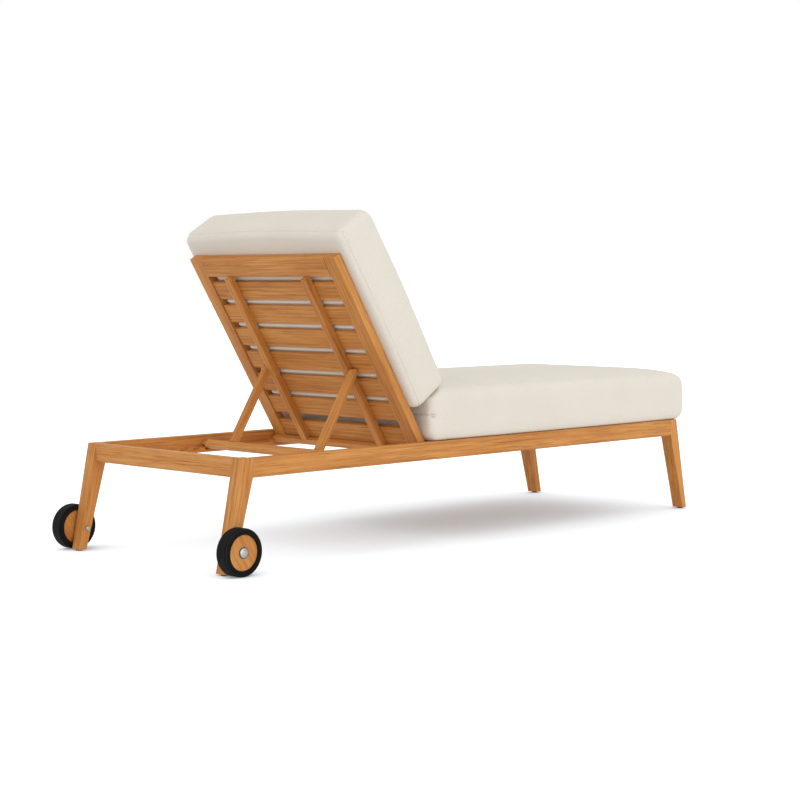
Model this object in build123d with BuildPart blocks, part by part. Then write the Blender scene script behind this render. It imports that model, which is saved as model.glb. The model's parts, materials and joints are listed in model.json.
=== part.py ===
"""A teak chaise lounger on two wheels, with a reclining back, a notched rack and two cushions.

X runs across the lounger, Y along it from the foot end (-Y) to the wheels (+Y), and Z is up.
The origin is on the floor, under the middle of the whole object. The back is modelled raised,
with its prop in the foremost notch.
"""

import os
from math import cos, radians, sin

from build123d import *

# Base frame
frame_length = 1950.0
frame_width = 700.0
deck_height = 310.0
rail_height = 54.0
rail_thick = 27.0
rail_under_round = 8.0
rail_top_round = 3.0
leg_thick = 43.0
leg_top_width = 37.0
leg_foot_width = 26.0
leg_splay = 61.0
leg_corner_round = 10.0
leg_edge_round = 2.5
tenon_thick = 12.0
tenon_height = 34.0
side_tenon_length = 22.0
cross_tenon_length = 18.0
tenon_gap = 0.2

# Glides under the legs
glide_height = 4.0
glide_radius = 10.0
glide_edge = 1.0

# Wheels
wheel_radius = 65.5
tyre_width = 43.0
tyre_depth = 16.0
tyre_shoulder = 8.0
hub_width = 34.0
hub_edge_bevel = 2.0
wheel_leg_gap = 1.0
press_gap = 0.1
running_gap = 0.05
axle_radius = 5.0
axle_play = 0.2
axle_cap_radius = 15.5
axle_cap_height = 6.0
axle_cap_rim = 1.5
spacer_radius = 12.0
axle_nut_radius = 7.0
axle_nut_height = 7.0
axle_nut_rim = 3.0

# Deck: cleats, slats and their screws
cleat_thick = 20.0
cleat_height = 26.0
slat_width = 63.0
slat_gap = 21.0
seat_slat_thick = 20.0
slat_edge_round = 4.0
slat_side_gap = 1.0
screw_radius = 2.5
screw_length = 34.0
screw_sink = 0.5
screw_gap = 0.1
bearer_width = 45.0

# Rack that the prop's crossbar stands in
rack_thick = 20.0
rack_below_rail = 2.0
rack_notch_count = 5
rack_notch_pitch = 50.0
rack_notch_depth = 9.0
rack_tooth_round = 2.5
rack_clearance = 0.4
notch_floor_share = 0.14
tooth_steep_share = 0.22
tooth_crest_share = 0.36

# Back frame, in a frame that lies along the back: the pivot is at zero
back_angle = 58.0
pivot_from_rear = 707.0
back_side_gap = 3.0
back_reach = 659.0
back_tail = 14.0
back_thick = 27.5
back_rear_offset = 9.0
stile_width = 48.0
back_edge_round = 3.0
back_slat_thick = 13.0
back_slat_recess = 5.0
back_slat_tongue = 8.0
top_rail_width = 62.0
bottom_rail_top = 66.0
bottom_rail_thick = 18.0
batten_width = 22.0
batten_thick = 23.0
batten_spread = 336.0
batten_round = 2.0
pivot_bar_height = 20.0
pivot_bar_thick = 18.0
pivot_bar_end_gap = 4.5
pivot_bar_round = 3.5
bar_notch_mouth = 64.0
bar_notch_floor = 42.0
bar_notch_depth = 8.0
hinge_pin_radius = 5.0
hinge_pin_in_rail = 18.0
hinge_pin_in_bar = 20.0
hinge_hole_spare = 1.5

# Prop: two arms and a crossbar
prop_length = 273.0
prop_width = 22.0
prop_thick = 20.0
prop_edge_round = 1.5
prop_side_gap = 0.5
prop_pin_radius = 4.0
prop_pin_in_batten = 16.0
prop_pin_in_arm = 14.0
pin_hole_spare = 1.0
crossbar_depth = 24.0
crossbar_thick = 20.0
crossbar_round = 2.5
crossbar_end_gap = 3.0
crossbar_tenon_radius = 8.0
prop_screw_radius = 2.5
prop_screw_length = 40.0
prop_screw_sink = 2.0

# Cushions
cushion_gap = 0.3
cushion_contact_gap = 1.0
contact_draw_in = 0.5
seat_side_overhang = 4.0
seat_foot_overhang = 30.0
seat_end_before_pivot = 20.0
seat_side_height = 160.0
seat_crown = 16.0
seat_side_bulge = 2.0
seat_upper_round = 34.0
seat_under_height = 34.0
seat_under_inset = 20.0
seat_under_corner = 20.0
seat_upper_corner = 30.0
back_cushion_overhang = 24.0
back_cushion_start = 119.0
back_cushion_end = 719.0
back_cushion_thick = 150.0
back_cushion_crown = 14.0
back_cushion_bulge = 9.0
back_upper_round = 26.0
back_under_height = 26.0
back_under_inset = 20.0
back_under_corner = 20.0
back_upper_corner = 30.0

# Cushion section shares: an edge's rounding, as height and inset, then the crown above it
edge_round_shares = ((0.0, 1.0), (0.13, 0.5), (0.5, 0.13), (1.0, 0.0))
crown_height_shares = (0.42, 0.80, 1.0)
crown_inset_shares = (0.10, 0.26, 0.46)

# Worked-out places
half_width = frame_width / 2
rail_bottom = deck_height - rail_height
rail_inner = half_width - rail_thick
back_width = 2 * (rail_inner - back_side_gap)
pivot_bar_half = rail_inner - pivot_bar_end_gap
seat_half = half_width + seat_side_overhang
back_cushion_half = back_width / 2 + back_cushion_overhang


def leg_outer_edge(height):
    """How far the leg's outer edge stands past the frame's end at this height."""
    return leg_splay * (deck_height - height) / (deck_height - glide_height)


def leg_inner_edge(height):
    """How far the leg's inner edge stands past the frame's end at this height, below the rail."""
    foot = leg_splay - leg_foot_width
    drop = (rail_bottom - height) / (rail_bottom - glide_height)
    return (foot + leg_top_width) * drop - leg_top_width


axle_past_end = (leg_outer_edge(wheel_radius) + leg_inner_edge(wheel_radius)) / 2
middle_y = (leg_splay - axle_past_end - wheel_radius) / 2
rear_y = middle_y + frame_length / 2
foot_y = middle_y - frame_length / 2
axle_y = rear_y + axle_past_end
tyre_bore = wheel_radius - tyre_depth
tyre_near_x = half_width + wheel_leg_gap
tyre_mid_x = tyre_near_x + tyre_width / 2
spacer_length = wheel_leg_gap + (tyre_width - hub_width) / 2 - axle_play
hub_far_x = tyre_mid_x + hub_width / 2 + axle_play

pivot_y = rear_y - pivot_from_rear
pivot_z = deck_height - rail_height / 2
back_along = Vector(0, cos(radians(back_angle)), sin(radians(back_angle)))
back_front = Vector(0, -sin(radians(back_angle)), cos(radians(back_angle)))
pivot = Vector(0, pivot_y, pivot_z)
frame_front = back_rear_offset + back_thick
slat_rear = back_rear_offset + back_slat_recess
rail_low = -back_tail
slat_pitch = slat_width + slat_gap
top_rail_low = back_reach - top_rail_width
back_slat_count = int((top_rail_low - bottom_rail_top) // slat_pitch)
back_slat_highs = [top_rail_low - slat_gap - slat_pitch * index for index in range(back_slat_count)]
batten_rear = slat_rear - batten_thick
batten_low = pivot_bar_height / 2
stile_inner = back_width / 2 - stile_width

prop_along = Vector(0, cos(radians(back_angle)), -sin(radians(back_angle)))
prop_top = pivot + back_along * prop_length
crossbar_centre = prop_top + prop_along * prop_length
arm_length = prop_length - crossbar_depth / 2
arm_inner_x = batten_spread / 2 + batten_width / 2 + prop_side_gap
rack_inner = rail_inner - rack_thick
crossbar_half = rack_inner - crossbar_end_gap
tenon_reach = rail_inner - crossbar_end_gap
rack_top = pivot_z - crossbar_tenon_radius - rack_clearance
rack_bottom = rail_bottom + rack_below_rail
rack_start_y = pivot_y + crossbar_depth

deck_end_y = pivot_y - back_thick - back_tail
cleat_top = deck_height - seat_slat_thick
deck_start_y = foot_y + leg_top_width
seat_slat_count = int((deck_end_y - deck_start_y + slat_gap) // slat_pitch)
cushion_floor = deck_height + cushion_gap


def across(y):
    """Plane square to Y: its x is X, its y is Z, and it extrudes towards the foot end."""
    return Plane(origin=(0, y, 0), x_dir=(1, 0, 0), z_dir=(0, -1, 0))


def back_side(x):
    """Plane square to X on the back: its x runs up the back, its y towards the cushion."""
    return Plane(origin=pivot + Vector(x, 0, 0), x_dir=back_along, z_dir=(1, 0, 0))


def back_level(along):
    """Plane square to the back's length: its x is X, its y points behind the back."""
    return Plane(origin=pivot + back_along * along, x_dir=(1, 0, 0), z_dir=back_along)


def back_face(front):
    """Plane parallel to the back's face: its x is X, its y runs up the back."""
    return Plane(origin=pivot + back_front * front, x_dir=(1, 0, 0), z_dir=back_front)


def prop_side(x):
    """Plane square to X on the prop: its x runs from the pin down to the crossbar."""
    return Plane(origin=prop_top + Vector(x, 0, 0), x_dir=prop_along, z_dir=(1, 0, 0))


def wheel_plane(x):
    """Plane through the axle: its x is X and its y is up, for profiles that revolve."""
    return Plane(origin=(x, axle_y, wheel_radius), x_dir=(1, 0, 0), z_dir=(0, -1, 0))


def axle_line():
    return Axis((0, axle_y, wheel_radius), (1, 0, 0))


def save(piece, name):
    piece.part.label = name
    export_step(piece.part, f"parts/{name}.step")


def side_name(side):
    return "right" if side > 0 else "left"


def low_x(side, inner, outer):
    """The lower X of a slab between two distances from the middle, on one side."""
    return inner if side > 0 else -outer


os.makedirs("parts", exist_ok=True)


# Side rails, with a tenon in each leg and a blind hole for the hinge pin
def side_rail(side):
    length = frame_length - 2 * leg_top_width
    middle_x = side * (half_width - rail_thick / 2)
    with BuildPart() as rail:
        with BuildSketch(across(rear_y - leg_top_width)) as section:
            with Locations((middle_x, rail_bottom + rail_height / 2)):
                Rectangle(rail_thick, rail_height)
            fillet(section.vertices().group_by(Axis.Y)[0], radius=rail_under_round)
            fillet(section.vertices().group_by(Axis.Y)[-1], radius=rail_top_round)
        extrude(amount=length)
        with BuildSketch(across(rear_y - leg_top_width + side_tenon_length)):
            with Locations((middle_x, rail_bottom + rail_height / 2)):
                Rectangle(tenon_thick, tenon_height)
        extrude(amount=length + 2 * side_tenon_length)
        hole_depth = hinge_pin_in_rail + hinge_hole_spare
        with BuildSketch(Plane.YZ.offset(low_x(side, rail_inner, rail_inner + hole_depth))):
            with Locations((pivot_y, pivot_z)):
                Circle(hinge_pin_radius + press_gap)
        extrude(amount=hole_depth, mode=Mode.SUBTRACT)
    save(rail, f"side_rail_{side_name(side)}")


# Rails across the two ends, flush with the legs' outer faces at the top
def end_rail(end):
    end_y = rear_y if end > 0 else foot_y
    length = frame_width - 2 * leg_thick
    middle_y_here = end_y - end * rail_thick / 2
    with BuildPart() as rail:
        with BuildSketch(Plane.YZ.offset(-length / 2)) as section:
            with Locations((middle_y_here, rail_bottom + rail_height / 2)):
                Rectangle(rail_thick, rail_height)
            fillet(section.vertices().group_by(Axis.Y)[0], radius=rail_under_round)
            fillet(section.vertices().group_by(Axis.Y)[-1], radius=rail_top_round)
        extrude(amount=length)
        with BuildSketch(Plane.YZ.offset(-length / 2 - cross_tenon_length)):
            with Locations((middle_y_here, rail_bottom + rail_height / 2)):
                Rectangle(tenon_thick, tenon_height)
        extrude(amount=length + 2 * cross_tenon_length)
    save(rail, "rear_rail" if end > 0 else "foot_rail")


# Legs: corner posts that splay outwards along the lounger and taper to the floor
def leg(end, side):
    end_y = rear_y if end > 0 else foot_y
    start_x = low_x(side, half_width - leg_thick, half_width)
    middle_z = rail_bottom + rail_height / 2
    outline = [
        (end_y - end * leg_top_width, deck_height),
        (end_y, deck_height),
        (end_y + end * leg_splay, glide_height),
        (end_y + end * (leg_splay - leg_foot_width), glide_height),
        (end_y - end * leg_top_width, rail_bottom),
    ]
    with BuildPart() as post:
        with BuildSketch(Plane.YZ.offset(start_x)):
            with BuildLine():
                Polyline(*outline, close=True)
            make_face()
        extrude(amount=leg_thick)
        by_length = post.edges().group_by(SortBy.LENGTH)
        outer = -1 if side > 0 else 0
        inner = 0 if side > 0 else -1
        soft_edges = by_length[-2] + [by_length[-1].sort_by(Axis.X)[inner]]
        fillet(soft_edges, radius=leg_edge_round)
        outer_face = post.faces().filter_by(Axis.X).sort_by(Axis.X)[outer]
        fillet(outer_face.edges().sort_by(SortBy.LENGTH)[-1], radius=leg_corner_round)
        # mortise for the side rail
        rail_x = side * (half_width - rail_thick / 2)
        depth = side_tenon_length + tenon_gap
        start_y = end_y - leg_top_width + depth if end > 0 else end_y + leg_top_width
        with BuildSketch(across(start_y)):
            with Locations((rail_x, middle_z)):
                Rectangle(tenon_thick + 2 * tenon_gap, tenon_height + 2 * tenon_gap)
        extrude(amount=depth, mode=Mode.SUBTRACT)
        # mortise for the rail across the end
        depth = cross_tenon_length + tenon_gap
        inner_x = half_width - leg_thick
        with BuildSketch(Plane.YZ.offset(low_x(side, inner_x, inner_x + depth))):
            with Locations((end_y - end * rail_thick / 2, middle_z)):
                Rectangle(tenon_thick + 2 * tenon_gap, tenon_height + 2 * tenon_gap)
        extrude(amount=depth, mode=Mode.SUBTRACT)
        if end > 0:
            with BuildSketch(Plane.YZ.offset(start_x)):
                with Locations((axle_y, wheel_radius)):
                    Circle(axle_radius + press_gap)
            extrude(amount=leg_thick, mode=Mode.SUBTRACT)
    save(post, f"{'rear' if end > 0 else 'foot'}_leg_{side_name(side)}")


# Seat slats, screwed down on cleats along the side rails
def seat_slat_places():
    """The Y of each seat slat's rear edge, from the back's end towards the foot."""
    return [deck_end_y - slat_pitch * index for index in range(seat_slat_count)]


def screw_places(slat_y, sides=(-1, 1)):
    """Where a seat slat's screws stand, over the middle of each cleat."""
    return [(side * (rail_inner - cleat_thick / 2), slat_y - slat_width / 2) for side in sides]


def seat_cleat(side):
    places = [place for slat_y in seat_slat_places() for place in screw_places(slat_y, (side,))]
    with BuildPart() as cleat:
        with BuildSketch(across(deck_end_y)) as section:
            with Locations((side * (rail_inner - cleat_thick / 2), cleat_top - cleat_height / 2)):
                Rectangle(cleat_thick, cleat_height)
            fillet(section.vertices(), radius=rail_top_round)
        extrude(amount=deck_end_y - deck_start_y)
        with BuildSketch(Plane.XY.offset(cleat_top)):
            with Locations(*places):
                Circle(screw_radius + screw_gap)
        extrude(amount=-screw_length + seat_slat_thick - screw_gap, mode=Mode.SUBTRACT)
    save(cleat, f"seat_cleat_{side_name(side)}")


def seat_slat(index, slat_y):
    length = 2 * (rail_inner - slat_side_gap)
    with BuildPart() as slat:
        with BuildSketch(Plane.YZ.offset(-length / 2)):
            with Locations((slat_y - slat_width / 2, deck_height - seat_slat_thick / 2)):
                RectangleRounded(slat_width, seat_slat_thick, slat_edge_round)
        extrude(amount=length)
        with BuildSketch(Plane.XY.offset(deck_height)):
            with Locations(*screw_places(slat_y)):
                Circle(screw_radius + screw_gap)
        extrude(amount=-seat_slat_thick, mode=Mode.SUBTRACT)
    save(slat, f"seat_slat_{index + 1}")


def deck_screws():
    places = [place for slat_y in seat_slat_places() for place in screw_places(slat_y)]
    with BuildPart() as screws:
        with BuildSketch(Plane.XY.offset(deck_height - screw_sink)):
            with Locations(*places):
                Circle(screw_radius)
        extrude(amount=-screw_length + screw_sink)
    save(screws, "deck_screws")


# Bearer across the frame that ties the side rails under the last seat slat
def deck_bearer():
    length = 2 * (rail_inner - cleat_thick)
    with BuildPart() as bearer:
        with BuildSketch(Plane.YZ.offset(-length / 2)):
            with Locations((deck_end_y - slat_width / 2, cleat_top - cleat_height / 2)):
                RectangleRounded(bearer_width, cleat_height, rail_top_round)
        extrude(amount=length)
    save(bearer, "deck_bearer")


# Notched racks: each notch slopes gently down from the foot side and stops the bar steeply behind
def rack(side):
    first_y = crossbar_centre.Y
    floor_z = rack_top - rack_notch_depth
    outline = [(rack_start_y, rack_bottom), (rack_start_y, rack_top)]
    for index in range(rack_notch_count):
        notch_y = first_y + rack_notch_pitch * index
        crest_y = notch_y - rack_notch_pitch * (1 - tooth_crest_share)
        stop_y = notch_y + rack_notch_pitch * notch_floor_share
        outline.append((crest_y, rack_top))
        outline.append((notch_y - rack_notch_pitch * notch_floor_share, floor_z))
        outline.append((stop_y, floor_z))
        outline.append((notch_y + rack_notch_pitch * tooth_steep_share, rack_top))
    end_y = rear_y - leg_top_width
    outline += [(end_y, rack_top), (end_y, rack_bottom)]
    with BuildPart() as strip:
        with BuildSketch(Plane.YZ.offset(low_x(side, rack_inner, rail_inner))) as profile:
            with BuildLine():
                Polyline(*outline, close=True)
            make_face()
            teeth = profile.vertices().sort_by(Axis.X)[2:-2]
            fillet(teeth, radius=rack_tooth_round)
        extrude(amount=rack_thick)
    save(strip, f"prop_rack_{side_name(side)}")


# Hinge pins, fixed in the side rails
def hinge_pins():
    length = hinge_pin_in_rail + pivot_bar_end_gap + hinge_pin_in_bar
    with BuildPart() as pins:
        for side in (-1, 1):
            outer = rail_inner + hinge_pin_in_rail
            with BuildSketch(Plane.YZ.offset(low_x(side, outer - length, outer))):
                with Locations((pivot_y, pivot_z)):
                    Circle(hinge_pin_radius)
            extrude(amount=length)
    save(pins, "hinge_pins")


# Glides: one disc under each leg
def leg_glides():
    foot_middle = leg_splay - leg_foot_width / 2
    places = [
        (side * (half_width - leg_thick / 2), end_y + end * foot_middle)
        for side in (-1, 1)
        for end, end_y in ((-1, foot_y), (1, rear_y))
    ]
    with BuildPart() as glides:
        with BuildSketch(Plane.XY):
            with Locations(*places):
                Circle(glide_radius)
        extrude(amount=glide_height)
        chamfer(glides.edges().group_by(Axis.Z)[0], length=glide_edge)
    save(glides, "leg_glides")


# Wheels: rubber tyre on a wooden hub that turns on a bolt through the rear leg
def tyre(side):
    middle_x = side * tyre_mid_x
    with BuildPart() as ring:
        with BuildSketch(wheel_plane(middle_x)) as section:
            with Locations((0, wheel_radius - tyre_depth / 2)):
                Rectangle(tyre_width, tyre_depth)
            fillet(section.vertices().group_by(Axis.Y)[-1], radius=tyre_shoulder)
        revolve(axis=axle_line())
    save(ring, f"tyre_{side_name(side)}")


def hub(side):
    bore = axle_radius + running_gap
    rim = tyre_bore - press_gap
    with BuildPart() as disc:
        with BuildSketch(wheel_plane(side * tyre_mid_x)) as section:
            with Locations((0, (bore + rim) / 2)):
                Rectangle(hub_width, rim - bore)
            chamfer(section.vertices().group_by(Axis.Y)[-1], length=hub_edge_bevel)
        revolve(axis=axle_line())
    save(disc, f"wheel_hub_{side_name(side)}")


def axle_bolt(side):
    inner_x = side * (half_width - leg_thick - axle_nut_rim)
    cap_x = side * hub_far_x
    rim_x = cap_x + side * axle_cap_rim
    top_x = cap_x + side * axle_cap_height
    dome = axle_cap_height - axle_cap_rim
    dome_radius = (axle_cap_radius**2 + dome**2) / (2 * dome)
    with BuildPart() as bolt:
        with BuildSketch(wheel_plane(0)):
            with BuildLine():
                Polyline(
                    (inner_x, 0),
                    (inner_x, axle_radius),
                    (cap_x, axle_radius),
                    (cap_x, axle_cap_radius),
                    (rim_x, axle_cap_radius),
                )
                RadiusArc((rim_x, axle_cap_radius), (top_x, 0), side * dome_radius)
                Line((top_x, 0), (inner_x, 0))
            make_face()
        revolve(axis=axle_line())
    save(bolt, f"axle_bolt_{side_name(side)}")


def axle_spacers():
    with BuildPart() as spacers:
        for side in (-1, 1):
            with BuildSketch(Plane.YZ.offset(low_x(side, half_width, half_width + spacer_length))):
                with Locations((axle_y, wheel_radius)):
                    Circle(spacer_radius)
                    Circle(axle_radius + press_gap, mode=Mode.SUBTRACT)
            extrude(amount=spacer_length)
    save(spacers, "axle_spacers")


def axle_nuts():
    face_x = half_width - leg_thick
    end_x = face_x - axle_nut_height
    bore = axle_radius + press_gap
    bore_end_x = face_x - axle_nut_rim - press_gap
    with BuildPart() as nuts:
        for side in (-1, 1):
            with BuildSketch(wheel_plane(0)) as section:
                with BuildLine():
                    Polyline(
                        (side * end_x, 0),
                        (side * end_x, axle_nut_radius),
                        (side * face_x, axle_nut_radius),
                        (side * face_x, bore),
                        (side * bore_end_x, bore),
                        (side * bore_end_x, 0),
                        close=True,
                    )
                make_face()
                outer = section.vertices().group_by(Axis.Y)[-1].sort_by(Axis.X)
                fillet(outer[0 if side > 0 else -1], radius=axle_nut_rim)
            revolve(axis=axle_line())
    save(nuts, "axle_nuts")


# Back frame: two stiles, two rails, slats in mortises, battens and the pivot bar
def tongue_height(width):
    return width - 2 * back_edge_round


def back_cross_members():
    """Low edge, high edge, rear and front of each piece that has a tongue in the stiles."""
    rails = [
        (top_rail_low, back_reach, back_rear_offset, frame_front),
        (rail_low, bottom_rail_top, slat_rear, slat_rear + bottom_rail_thick),
    ]
    slats = [
        (high - slat_width, high, slat_rear, slat_rear + back_slat_thick)
        for high in back_slat_highs
    ]
    return rails, slats


def tongue_section(member):
    """Centre and size of a member's tongue, seen square to X."""
    low, high, rear, front = member
    centre = ((low + high) / 2, (rear + front) / 2)
    return centre, (tongue_height(high - low), (front - rear) / 2)


def back_member(name, member, edge_round):
    low, high, rear, front = member
    centre, size = tongue_section(member)
    with BuildPart() as piece:
        with BuildSketch(back_side(-stile_inner)):
            with Locations(centre):
                RectangleRounded(high - low, front - rear, edge_round)
        extrude(amount=2 * stile_inner)
        with BuildSketch(back_side(-stile_inner - back_slat_tongue)):
            with Locations(centre):
                Rectangle(*size)
        extrude(amount=2 * (stile_inner + back_slat_tongue))
    save(piece, name)


def back_stile(side):
    rails, slats = back_cross_members()
    middle_x = side * (back_width - stile_width) / 2
    depth = back_slat_tongue + tenon_gap
    with BuildPart() as stile:
        with BuildSketch(back_level(-back_tail)):
            with Locations((middle_x, -(back_rear_offset + frame_front) / 2)):
                RectangleRounded(stile_width, back_thick, back_edge_round)
        extrude(amount=back_tail + back_reach)
        for member in rails + slats:
            centre, size = tongue_section(member)
            with BuildSketch(back_side(low_x(side, stile_inner, stile_inner + depth))):
                with Locations(centre):
                    Rectangle(size[0] + 2 * tenon_gap, size[1] + 2 * tenon_gap)
            extrude(amount=depth, mode=Mode.SUBTRACT)
    save(stile, f"back_stile_{side_name(side)}")


def back_batten(side):
    middle_x = side * batten_spread / 2
    outer_x = batten_spread / 2 + batten_width / 2
    depth = prop_pin_in_batten + pin_hole_spare
    with BuildPart() as batten:
        with BuildSketch(back_level(batten_low)):
            with Locations((middle_x, -(batten_rear + slat_rear) / 2)):
                RectangleRounded(batten_width, batten_thick, batten_round)
        extrude(amount=top_rail_low - batten_low)
        with BuildSketch(back_side(low_x(side, outer_x - depth, outer_x))):
            with Locations((prop_length, 0)):
                Circle(prop_pin_radius + press_gap)
        extrude(amount=depth, mode=Mode.SUBTRACT)
    save(batten, f"back_batten_{side_name(side)}")


def pivot_bar():
    low = -pivot_bar_height / 2
    depth = hinge_pin_in_bar + hinge_hole_spare
    with BuildPart() as bar:
        with BuildSketch(back_side(-pivot_bar_half)):
            RectangleRounded(pivot_bar_height, pivot_bar_thick, pivot_bar_round)
        extrude(amount=2 * pivot_bar_half)
        with BuildSketch(back_face(-pivot_bar_thick)):
            with BuildLine():
                Polyline(
                    (-bar_notch_mouth / 2, low),
                    (-bar_notch_floor / 2, low + bar_notch_depth),
                    (bar_notch_floor / 2, low + bar_notch_depth),
                    (bar_notch_mouth / 2, low),
                    close=True,
                )
            make_face()
        extrude(amount=2 * pivot_bar_thick, mode=Mode.SUBTRACT)
        for side in (-1, 1):
            with BuildSketch(back_side(low_x(side, pivot_bar_half - depth, pivot_bar_half))):
                Circle(hinge_pin_radius + running_gap)
            extrude(amount=depth, mode=Mode.SUBTRACT)
    save(bar, "back_pivot_bar")


# Prop: two arms on the battens' outer sides, joined by a bar whose round ends stand in the racks
def prop_arm(side):
    depth = prop_pin_in_arm + pin_hole_spare
    start_x = low_x(side, arm_inner_x, arm_inner_x + prop_thick)
    with BuildPart() as arm:
        with BuildSketch(prop_side(start_x)):
            with Locations((arm_length / 2, 0)):
                Rectangle(arm_length, prop_width)
            Circle(prop_width / 2)
        extrude(amount=prop_thick)
        fillet(arm.faces().filter_by(Axis.X).edges(), radius=prop_edge_round)
        with BuildSketch(prop_side(low_x(side, arm_inner_x, arm_inner_x + depth))):
            Circle(prop_pin_radius + running_gap)
        extrude(amount=depth, mode=Mode.SUBTRACT)
        with BuildSketch(prop_end_plane(arm_length)):
            with Locations((side * (arm_inner_x + prop_thick / 2), 0)):
                Circle(prop_screw_radius + screw_gap)
        extrude(amount=-prop_screw_length, mode=Mode.SUBTRACT)
    save(arm, f"prop_arm_{side_name(side)}")


def prop_end_plane(along):
    """Plane square to the prop's length: its x is X, and it extrudes away from the pin."""
    return Plane(origin=prop_top + prop_along * along, x_dir=(1, 0, 0), z_dir=prop_along)


def prop_crossbar():
    places = [(side * (arm_inner_x + prop_thick / 2), 0) for side in (-1, 1)]
    with BuildPart() as bar:
        with BuildSketch(prop_side(-crossbar_half)):
            with Locations((prop_length, 0)):
                RectangleRounded(crossbar_depth, crossbar_thick, crossbar_round)
        extrude(amount=2 * crossbar_half)
        with BuildSketch(prop_side(-tenon_reach)):
            with Locations((prop_length, 0)):
                Circle(crossbar_tenon_radius)
        extrude(amount=2 * tenon_reach)
        with BuildSketch(prop_end_plane(arm_length)):
            with Locations(*places):
                Circle(prop_screw_radius + screw_gap)
        extrude(amount=crossbar_depth, mode=Mode.SUBTRACT)
    save(bar, "prop_crossbar")


def prop_screws():
    places = [(side * (arm_inner_x + prop_thick / 2), 0) for side in (-1, 1)]
    end = arm_length + crossbar_depth - prop_screw_sink
    with BuildPart() as screws:
        with BuildSketch(prop_end_plane(end)):
            with Locations(*places):
                Circle(prop_screw_radius)
        extrude(amount=-prop_screw_length)
    save(screws, "prop_screws")


def prop_pins():
    face_x = batten_spread / 2 + batten_width / 2
    inner_x = face_x - prop_pin_in_batten
    length = prop_pin_in_batten + prop_side_gap + prop_pin_in_arm
    with BuildPart() as pins:
        for side in (-1, 1):
            with BuildSketch(back_side(low_x(side, inner_x, inner_x + length))):
                with Locations((prop_length, 0)):
                    Circle(prop_pin_radius)
            extrude(amount=length)
    save(pins, "prop_pins")


# Cushions: level sections with bulging sides, lofted up to a crown
def cushion_levels(side_height, crown, under_height, under_inset, upper_round, half_x):
    """Height and inset of each section, from the underside to the top of the crown."""
    under = [(under_height * height, under_inset * inset) for height, inset in edge_round_shares]
    upper = [
        (side_height - upper_round * height, upper_round * inset)
        for height, inset in reversed(edge_round_shares)
    ]
    top = [
        (side_height + crown * height, upper_round + (half_x - upper_round) * inset)
        for height, inset in zip(crown_height_shares, crown_inset_shares)
    ]
    return under + upper + top


def save_cushion(name, plane_at, levels, half_x, low_y, high_y, bulges, corners, rest_plane=None):
    """Bulges are those of the sides, the low end and the high end; corners are low and high up."""
    side_bulge, low_bulge, high_bulge = bulges
    under_corner, upper_corner = corners
    middle = (low_y + high_y) / 2
    tallest = levels[-1][0]
    with BuildPart() as cushion:
        for height, inset in levels:
            right = half_x - inset
            low = low_y + inset
            high = high_y - inset
            with BuildSketch(plane_at(height)) as section:
                with BuildLine():
                    ThreePointArc((-right, low), (0, low - low_bulge), (right, low))
                    ThreePointArc((right, low), (right + side_bulge, middle), (right, high))
                    ThreePointArc((right, high), (0, high + high_bulge), (-right, high))
                    ThreePointArc((-right, high), (-right - side_bulge, middle), (-right, low))
                make_face()
                corner = under_corner + (upper_corner - under_corner) * height / tallest
                fillet(section.vertices(), radius=corner)
        loft(ruled=True)
        if rest_plane is not None:
            split(bisect_by=rest_plane, keep=Keep.BOTTOM)
    save(cushion, name)


def seat_cushion():
    levels = cushion_levels(
        seat_side_height,
        seat_crown,
        seat_under_height,
        seat_under_inset,
        seat_upper_round,
        seat_half,
    )
    low_y = foot_y - seat_foot_overhang
    high_y = pivot_y - seat_end_before_pivot
    # the back cushion's end rests on the seat and presses its rear edge to its own slope
    rest_plane = back_level(back_cushion_start - cushion_contact_gap)
    save_cushion(
        "seat_cushion",
        lambda height: Plane.XY.offset(cushion_floor + height),
        levels,
        seat_half,
        low_y,
        high_y,
        (seat_side_bulge, seat_side_bulge, -contact_draw_in),
        (seat_under_corner, seat_upper_corner),
        rest_plane,
    )


def back_cushion():
    levels = cushion_levels(
        back_cushion_thick,
        back_cushion_crown,
        back_under_height,
        back_under_inset,
        back_upper_round,
        back_cushion_half,
    )
    save_cushion(
        "back_cushion",
        lambda height: back_face(frame_front + cushion_gap + height),
        levels,
        back_cushion_half,
        back_cushion_start,
        back_cushion_end,
        (back_cushion_bulge, -contact_draw_in, back_cushion_bulge),
        (back_under_corner, back_upper_corner),
    )


for this_side in (-1, 1):
    side_rail(this_side)
    leg(-1, this_side)
    leg(1, this_side)
    seat_cleat(this_side)
    rack(this_side)
    tyre(this_side)
    hub(this_side)
    axle_bolt(this_side)
    back_stile(this_side)
    back_batten(this_side)
    prop_arm(this_side)
end_rail(-1)
end_rail(1)
for slat_index, slat_edge_y in enumerate(seat_slat_places()):
    seat_slat(slat_index, slat_edge_y)
deck_screws()
deck_bearer()
hinge_pins()
leg_glides()
axle_spacers()
axle_nuts()
frame_rails, frame_slats = back_cross_members()
back_member("back_top_rail", frame_rails[0], back_edge_round)
back_member("back_bottom_rail", frame_rails[1], back_edge_round)
for slat_index, slat_member in enumerate(frame_slats):
    back_member(f"back_slat_{slat_index + 1}", slat_member, slat_edge_round)
pivot_bar()
prop_crossbar()
prop_screws()
prop_pins()
seat_cushion()
back_cushion()
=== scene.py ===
"""Looks of a teak chaise lounger with a propped back, two wheels and two thick cushions.

Each operator finishes one group of pieces: the oiled teak, the steel, the wheels and the glides,
the two sewn cushions, and last the studio they stand in.
"""

import json
from math import atan2, cos, exp, pi, radians, sin

import bmesh
import bpy
from mathutils import Matrix, Vector


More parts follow.
